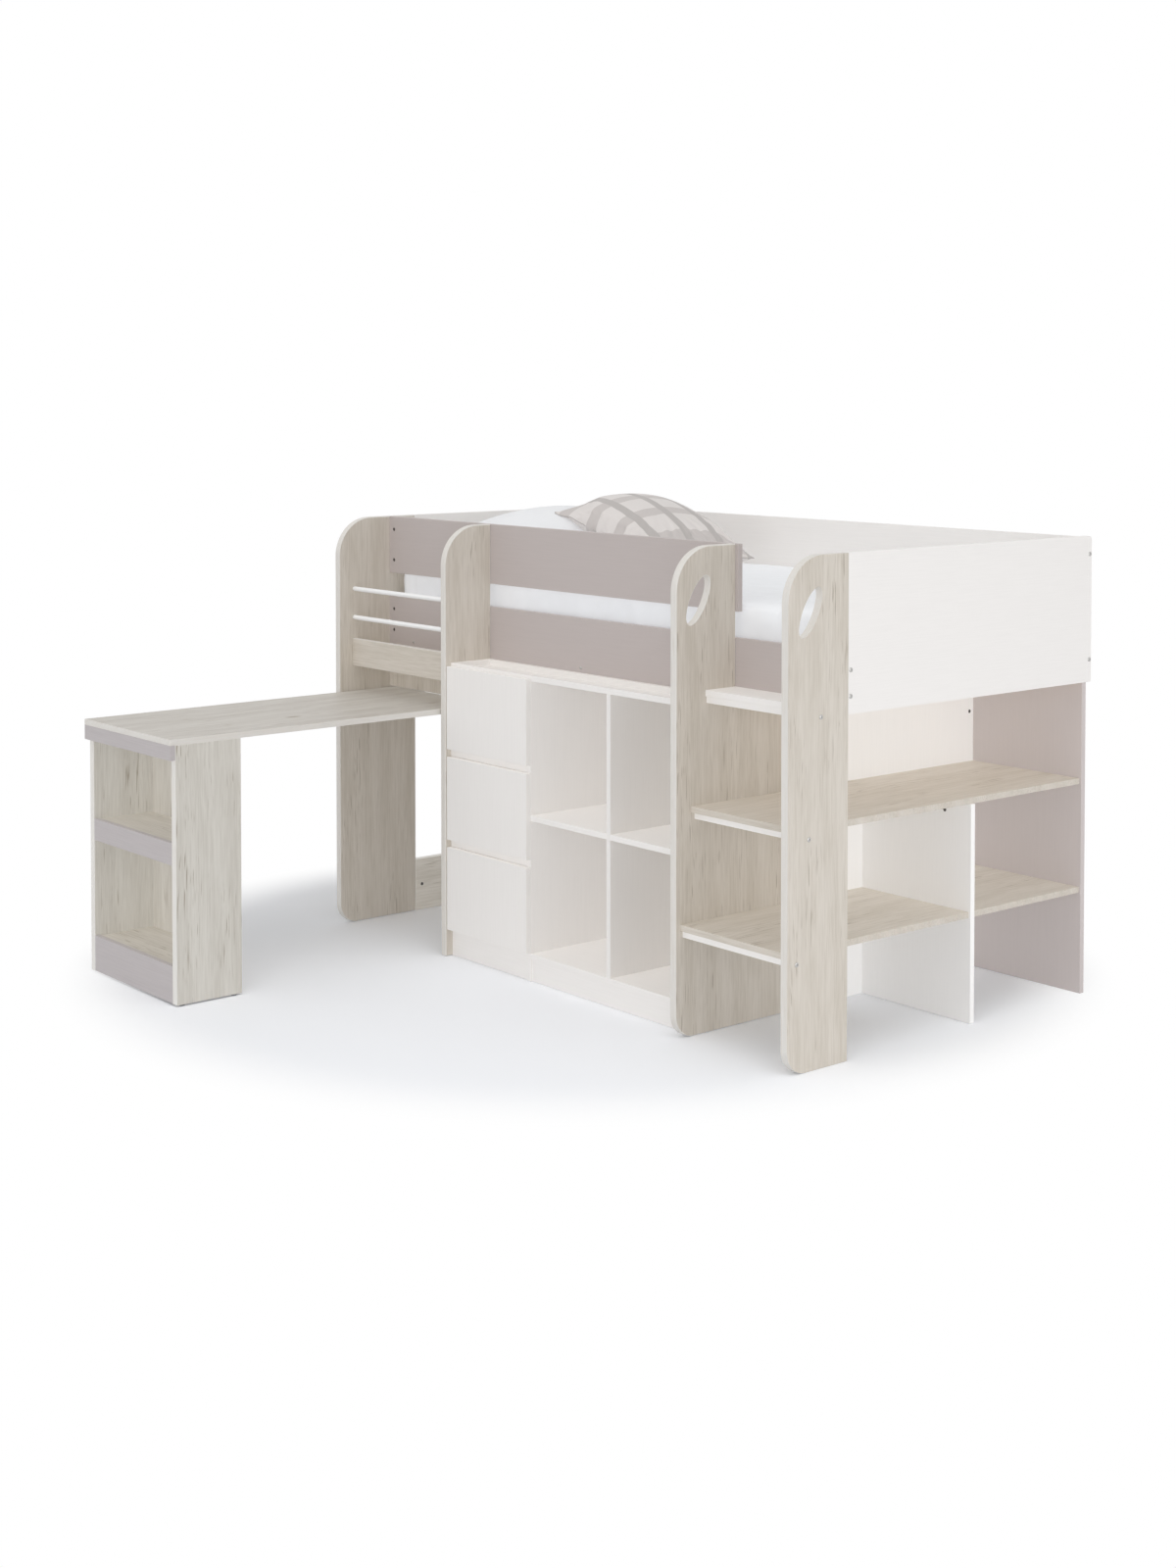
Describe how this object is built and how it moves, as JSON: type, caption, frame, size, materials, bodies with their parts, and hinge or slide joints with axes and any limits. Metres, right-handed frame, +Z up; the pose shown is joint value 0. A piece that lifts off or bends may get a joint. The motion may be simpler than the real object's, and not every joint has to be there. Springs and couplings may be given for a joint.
{
  "type": "mid sleeper bed",
  "caption": "Mid sleeper bed with a pull-out desk, drawers, cubby holes, book rack, ladder treads that run on as an end bookcase, mattress and pillows.",
  "frame": {"origin": "on the floor, in the middle of the area that the bed and the drawn-out desk cover", "axes": "+X along the bed from the head end towards the ladder, +Y from the front towards the wall, +Z up"},
  "size_m": [1.964, 1.97, 1.3082],
  "materials": {
    "oak": "washed oak effect foil, satin",
    "white_board": "white melamine with a faint grain, satin",
    "taupe_board": "taupe melamine, satin",
    "grey_band": "grey taupe melamine, satin",
    "thin_board": "white faced thin fibreboard, satin",
    "pine": "bare softwood, planed",
    "white_metal": "white powder coat",
    "steel": "zinc plated",
    "plastic": "moulded, matt",
    "mattress_cloth": "smooth white cotton sheet",
    "pillow_cloth": "smooth white cotton",
    "cushion_cloth": "printed cotton, greys and off-white"
  },
  "bodies": {
    "bed": {"left_upright": "oak", "storage_upright": "oak", "inner_ladder_upright": "oak", "outer_ladder_upright": "oak", "left_bottom_rail": "oak", "rear_left_leg": "oak", "low_tread_shelf": "oak", "mid_tread_shelf": "oak", "lower_rear_shelf": "oak", "rack_front_rail": "oak", "rack_shelf": "oak", "rack_back_board": "oak", "front_guard_board": "taupe_board", "front_side_rail": "taupe_board", "rear_right_panel": "taupe_board", "left_end_board": "white_board", "right_end_board": "white_board", "rear_board": "white_board", "top_step": "white_board", "tread_rails": "white_board", "bookcase_back_panel": "white_board", "bookcase_divider": "white_board", "storage_gable": "white_board", "cubby_divider": "white_board", "storage_floor": "white_board", "storage_plinths": "white_board", "cubby_shelves": "white_board", "storage_tray_rails": "white_board", "drawer_rails": "white_board", "desk_bay_panel": "white_board", "storage_top_panel": "thin_board", "storage_back_panel": "thin_board", "slat_battens": "pine", "bed_slats": "pine", "rack_rods": "white_metal", "drawer_runners": "steel", "desk_tracks": "steel", "barrel_nuts": "steel", "assembly_bolts": "steel", "mattress": "mattress_cloth", "bed_pillow": "pillow_cloth", "scatter_cushion": "cushion_cloth"},
    "top_drawer": {"top_drawer_front": "white_board", "top_drawer_box": "white_board", "top_drawer_bottom": "thin_board", "top_drawer_slides": "steel"},
    "middle_drawer": {"middle_drawer_front": "white_board", "middle_drawer_box": "white_board", "middle_drawer_bottom": "thin_board", "middle_drawer_slides": "steel"},
    "bottom_drawer": {"bottom_drawer_front": "white_board", "bottom_drawer_box": "white_board", "bottom_drawer_bottom": "thin_board", "bottom_drawer_slides": "steel"},
    "desk": {"desk_top": "oak", "desk_bands": "grey_band", "pedestal_gables": "oak", "pedestal_back": "oak", "pedestal_shelves": "oak", "desk_glides": "plastic"}
  },
  "joints": [
    {"name": "desk_slide", "type": "slide", "parent": "bed", "child": "desk", "axis": [0, 1, 0], "range_m": [0, 0.86]},
    {"name": "top_drawer_slide", "type": "slide", "parent": "bed", "child": "top_drawer", "axis": [0, -1, 0], "range_m": [0, 0.28]},
    {"name": "middle_drawer_slide", "type": "slide", "parent": "bed", "child": "middle_drawer", "axis": [0, -1, 0], "range_m": [0, 0.28]},
    {"name": "bottom_drawer_slide", "type": "slide", "parent": "bed", "child": "bottom_drawer", "axis": [0, -1, 0], "range_m": [0, 0.28]}
  ]
}
